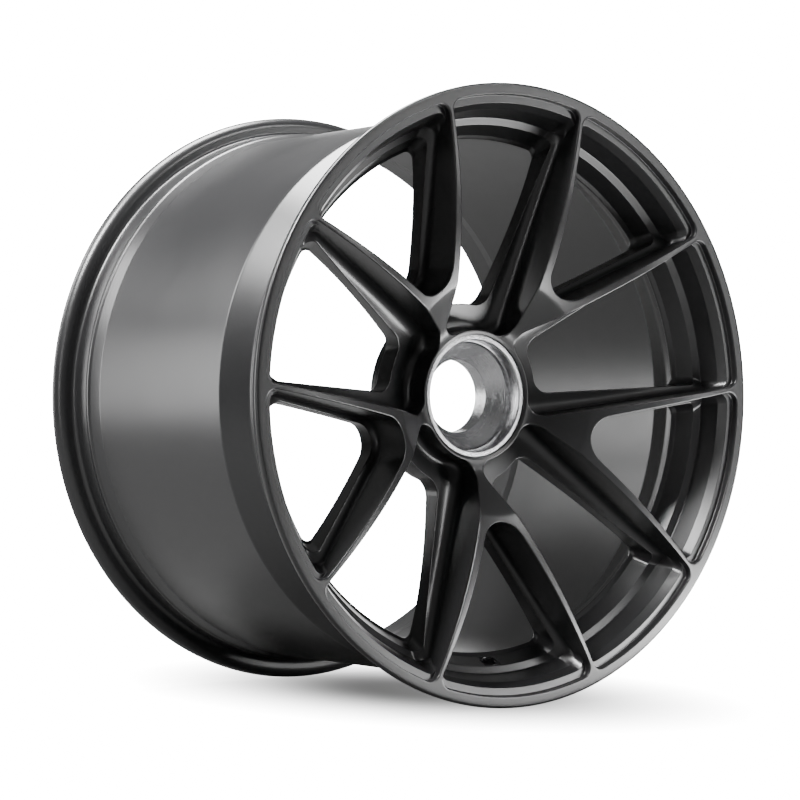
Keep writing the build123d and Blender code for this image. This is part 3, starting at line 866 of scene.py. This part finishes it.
def add(tree, kind, inputs=None, **settings):
    """Add a node, set its options, and set or link its inputs by name."""
    node = tree.nodes.new(kind)
    for key, value in settings.items():
        setattr(node, key, value)
    for key, value in (inputs or {}).items():
        if isinstance(value, bpy.types.NodeSocket):
            tree.links.new(value, node.inputs[key])
        else:
            node.inputs[key].default_value = value
    return node


def maths(tree, operation, *values):
    """Add a Math node and hand back its output. Each value is a number or another output."""
    return add(tree, "ShaderNodeMath", dict(enumerate(values)), operation=operation).outputs[0]


def ramp(tree, fac, low, high):
    """Add a colour ramp between two (position, colour) ends and hand back its node."""
    node = add(tree, "ShaderNodeValToRGB", {"Fac": fac})
    for end, (position, colour) in zip(node.color_ramp.elements, (low, high)):
        end.position, end.color = position, (*colour, 1)
    return node


def group(name, inputs, outputs):
    """A shader node group with named float sockets: (name, default) pairs in, names out."""
    tree = bpy.data.node_groups.new(name, "ShaderNodeTree")
    for label, value in inputs:
        socket = tree.interface.new_socket(label, in_out="INPUT", socket_type="NodeSocketFloat")
        socket.default_value = value
    for label in outputs:
        tree.interface.new_socket(label, in_out="OUTPUT", socket_type="NodeSocketFloat")
    return tree, tree.nodes.new("NodeGroupInput"), tree.nodes.new("NodeGroupOutput")


print("helpers:", [f.__name__ for f in (material, add, maths, ramp, group)])

# %% Orange peel and uneven gloss
peel, peel_in, peel_out = group("powder_film", [("Peel size", 900.0), ("Gloss", 0.4), ("Spread", 0.08)],
                                ["Height", "Roughness", "Dust"])
where = add(peel, "ShaderNodeTexCoord").outputs["Object"]
noise = lambda scale, detail, rough: add(peel, "ShaderNodeTexNoise", {
    "Vector": where, "Scale": scale, "Detail": detail, "Roughness": rough})
fine = noise(peel_in.outputs["Peel size"], 2.0, 0.5)
broad = noise(14.0, 4.0, 0.6)
grain = noise(2600.0, 1.0, 0.5)
centred = maths(peel, "SUBTRACT", broad.outputs["Fac"], 0.5)
varied = maths(peel, "MULTIPLY_ADD", centred, peel_in.outputs["Spread"], peel_in.outputs["Gloss"])
peel.links.new(fine.outputs["Fac"], peel_out.inputs["Height"])
peel.links.new(varied, peel_out.inputs["Roughness"])
peel.links.new(grain.outputs["Fac"], peel_out.inputs["Dust"])
print("group:", peel.name)

# %% Satin black powder coat
satin, tree, shader = material("satin_black_powder")
film = add(tree, "ShaderNodeGroup", {"Peel size": 1100.0, "Gloss": 0.31, "Spread": 0.10}, node_tree=peel)
colour = ramp(tree, film.outputs["Dust"], (0.30, (0.006, 0.006, 0.0064)), (0.75, (0.012, 0.012, 0.0126)))
bump = add(tree, "ShaderNodeBump", {"Height": film.outputs["Height"], "Strength": 0.10, "Distance": 0.0002})
tree.links.new(colour.outputs["Color"], shader.inputs["Base Color"])
tree.links.new(film.outputs["Roughness"], shader.inputs["Roughness"])
tree.links.new(bump.outputs["Normal"], shader.inputs["Normal"])
shader.inputs["Specular IOR Level"].default_value = 0.62
wheel.data.materials.append(satin)
print("finish:", satin.name)

# %% Lathe rings
lathe, lathe_in, lathe_out = group("lathe_rings", [("Pitch", 900.0), ("Gloss", 0.2), ("Spread", 0.1)],
                                   ["Height", "Roughness", "Shade"])
where = add(lathe, "ShaderNodeTexCoord").outputs["Object"]
parted = add(lathe, "ShaderNodeSeparateXYZ", {"Vector": where})
squared = maths(lathe, "MULTIPLY", parted.outputs["X"], parted.outputs["X"])
squared = maths(lathe, "MULTIPLY_ADD", parted.outputs["Z"], parted.outputs["Z"], squared)
along = maths(lathe, "SUBTRACT", maths(lathe, "SQRT", squared), parted.outputs["Y"])
pitch = maths(lathe, "MULTIPLY", along, lathe_in.outputs["Pitch"])
line = add(lathe, "ShaderNodeTexNoise", {"W": pitch, "Scale": 1.0, "Detail": 3.0, "Roughness": 0.7},
           noise_dimensions="1D")
cloud = add(lathe, "ShaderNodeTexNoise", {"Vector": where, "Scale": 60.0, "Detail": 3.0})
mixed = maths(lathe, "MULTIPLY", line.outputs["Fac"], cloud.outputs["Fac"])
rough = maths(lathe, "MULTIPLY_ADD", mixed, lathe_in.outputs["Spread"], lathe_in.outputs["Gloss"])
lathe.links.new(line.outputs["Fac"], lathe_out.inputs["Height"])
lathe.links.new(rough, lathe_out.inputs["Roughness"])
lathe.links.new(line.outputs["Fac"], lathe_out.inputs["Shade"])


def turned_metal(name, dark, light, pitch, gloss, spread, strength):
    """Bare metal with fine lathe rings, which shade its colour, its gloss and its normals."""
    made, tree, shader = material(name)
    rings = add(tree, "ShaderNodeGroup", {"Pitch": pitch, "Gloss": gloss, "Spread": spread}, node_tree=lathe)
    colour = ramp(tree, rings.outputs["Shade"], (0.3, dark), (0.7, light))
    bump = add(tree, "ShaderNodeBump",
               {"Height": rings.outputs["Height"], "Strength": strength, "Distance": 0.0003})
    tree.links.new(colour.outputs["Color"], shader.inputs["Base Color"])
    tree.links.new(rings.outputs["Roughness"], shader.inputs["Roughness"])
    tree.links.new(bump.outputs["Normal"], shader.inputs["Normal"])
    shader.inputs["Metallic"].default_value = 1.0
    return made


alloy = turned_metal("turned_alloy_seat", (0.40, 0.40, 0.41), (0.60, 0.60, 0.61), 2600.0, 0.22, 0.16, 0.30)
spring = turned_metal("phosphated_spring_steel", (0.05, 0.05, 0.052), (0.12, 0.12, 0.125),
                      4000.0, 0.42, 0.2, 0.2)
steel = turned_metal("ground_bush_steel", (0.36, 0.36, 0.365), (0.55, 0.55, 0.56), 5000.0, 0.24, 0.2, 0.25)
nut_seat.data.materials.append(alloy)
ring.data.materials.append(spring)
for number in range(1, 6):
    bpy.data.objects[f"drive_bush_{number}"].data.materials.append(steel)
print("finishes:", [m.name for m in (alloy, spring, steel)])


# %% [markdown]
# ## Floor, light and camera
# The wheel stands on its flanges on a pale floor. Black paint has almost no colour of its own, so
# what it shows is the room: soft lights above, behind and beside it make the bright faces, weak
# ones in front lift the spokes, and the dark sides of the room keep the rest black. The floor
# and the backdrop glow only for the camera, and reflections meet a dark room. Under the wheel the
# floor's glow and colour sink in an ellipse: a painted shadow, added to the shadow that the lights cast.

# %% Floor
def light_path_mix(tree, seen, other, output):
    """The camera sees the first shader, and every other ray meets the second."""
    path = add(tree, "ShaderNodeLightPath")
    mix = add(tree, "ShaderNodeMixShader", {0: path.outputs["Is Camera Ray"]})
    tree.links.new(other.outputs[0], mix.inputs[1])
    tree.links.new(seen.outputs[0], mix.inputs[2])
    tree.links.new(mix.outputs[0], output.inputs["Surface"])


spokes = 96
angle = np.arange(spokes) * (2 * math.pi / spokes)
reach = np.array([0.0, 0.5, 1.0, 2.0, 5.0, 20.0])[:, None]
disc = np.stack(np.broadcast_arrays(reach * np.cos(angle), reach * np.sin(angle), forging_low[2]), -1)
sheet = bpy.data.meshes.new("floor")
i, j = np.meshgrid(np.arange(len(reach) - 1), np.arange(spokes), indexing="ij")
here, beyond, k = i * spokes, (i + 1) * spokes, (j + 1) % spokes
quads = np.stack([here + j, beyond + j, beyond + k, here + k], -1)
sheet.from_pydata(disc.reshape(-1, 3).tolist(), [], quads.reshape(-1, 4).tolist())
floor_sheet = bpy.data.objects.new("floor", sheet)
bpy.context.scene.collection.objects.link(floor_sheet)
print("the floor is at z =", round(forging_low[2], 4))

# %% Floor finish
paper, tree, shader = material("pale_floor")
where = add(tree, "ShaderNodeTexCoord").outputs["Object"]
mottle = add(tree, "ShaderNodeTexNoise", {"Vector": where, "Scale": 3.0})
tone = ramp(tree, mottle.outputs["Fac"], (0.0, (0.86, 0.86, 0.86)), (1.0, (0.90, 0.90, 0.90)))
shader.inputs["Roughness"].default_value = 0.7
shader.inputs["Specular IOR Level"].default_value = 0.1
shader.inputs["Emission Strength"].default_value = 22.0
# Painted shadow: by place alone, the floor's glow and colour fall nearly to black in an ellipse under the
# wheel.
spot = add(tree, "ShaderNodeSeparateXYZ", {"Vector": where})
width = maths(tree, "MULTIPLY_ADD", spot.outputs["X"], 3.4, -0.07)
length = maths(tree, "MULTIPLY", spot.outputs["Y"], 2.0)
away = maths(tree, "MULTIPLY_ADD", width, width, maths(tree, "MULTIPLY", length, length))
shade = ramp(tree, away, (0.0, (0.006, 0.006, 0.006)), (1.0, (1, 1, 1)))
shade.color_ramp.interpolation = "EASE"
tree.links.new(shade.outputs["Color"], shader.inputs["Emission Color"])
shaded = add(tree, "ShaderNodeVectorMath", {0: tone.outputs["Color"], 1: shade.outputs["Color"]},
             operation="MULTIPLY")
tree.links.new(shaded.outputs[0], shader.inputs["Base Color"])
dark = add(tree, "ShaderNodeBsdfDiffuse", {"Color": (0.10, 0.10, 0.10, 1)})
light_path_mix(tree, shader, dark, tree.nodes["Material Output"])
floor_sheet.data.materials.append(paper)
print("finish:", paper.name)

# %% Lights
def soft_light(name, place, aim, size, power):
    """Rectangular area light at a place, turned to face a point."""
    lamp = bpy.data.lights.new(name, "AREA")
    lamp.shape, lamp.size, lamp.size_y, lamp.energy = "RECTANGLE", size[0], size[1], power
    obj = bpy.data.objects.new(name, lamp)
    obj.location = place
    obj.rotation_euler = (Vector(aim) - Vector(place)).to_track_quat("-Z", "Y").to_euler()
    obj.visible_camera = False
    bpy.context.scene.collection.objects.link(obj)


soft_light("top_bank", (-0.1, 0.5, 2.4), (0, 0, 0), (1.6, 1.0), 300)
soft_light("upper_left_bank", (-1.8, -0.3, 2.2), (0, 0, 0), (0.5, 1.0), 280)
soft_light("barrel_bank", (-2.2, 2.35, 0.1), (-0.2, 0, 0), (0.9, 1.6), 45)
soft_light("barrel_high_bank", (-2.0, 1.9, 1.7), (-0.2, 0, 0), (1.0, 1.2), 60)
soft_light("back_right_bank", (2.5, 2.7, 0.2), (0, 0, 0), (1.5, 2.0), 45)
soft_light("low_right_bank", (1.1, 0.35, -0.22), (0, 0, 0.25), (0.7, 0.5), 44)
soft_light("floor_bounce", (0.45, -0.40, -0.262), (0.25, -0.05, 0.3), (0.6, 0.25), 12)
soft_light("front_bank", (1.5, -2.7, 1.9), (0, 0, 0), (1.0, 0.3), 34)
soft_light("face_panel", (2.1, -2.7, 0.3), (0, 0, 0), (0.3, 1.4), 20)
soft_light("left_strip", (-3.0, -1.6, 0.3), (0, 0, 0), (0.2, 1.4), 12)

# %% Room
world = bpy.data.worlds.new("room")
bpy.context.scene.world = world
world.use_nodes = True
tree = world.node_tree
white = tree.nodes["Background"]
white.inputs["Color"].default_value, white.inputs["Strength"].default_value = (1, 1, 1, 1), 26.0
up = add(tree, "ShaderNodeSeparateXYZ", {"Vector": add(tree, "ShaderNodeTexCoord").outputs["Generated"]})
height = add(tree, "ShaderNodeMapRange", {"Value": up.outputs["Z"], "From Min": -1.0}).outputs[0]
room = ramp(tree, height, (0.42, (0.015, 0.015, 0.015)), (1.0, (0.42, 0.42, 0.42)))
walls = add(tree, "ShaderNodeBackground", {"Color": room.outputs["Color"], "Strength": 0.75})
light_path_mix(tree, white, walls, tree.nodes["World Output"])
print("room:", world.name)

# %% Camera
lens = bpy.data.cameras.new("camera")
lens.lens, lens.sensor_width = 116.2, 36.0
camera = bpy.data.objects.new("camera", lens)
camera.location = (-1.4122, -1.9143, -0.0186)
camera.rotation_euler = Vector((0.59314, 0.80507, 0.00646)).to_track_quat("-Z", "Y").to_euler()
bpy.context.scene.collection.objects.link(camera)
bpy.context.scene.camera = camera
print("camera:", lens.lens, "mm lens,", round(Vector(camera.location).length, 2), "m from the wheel centre")
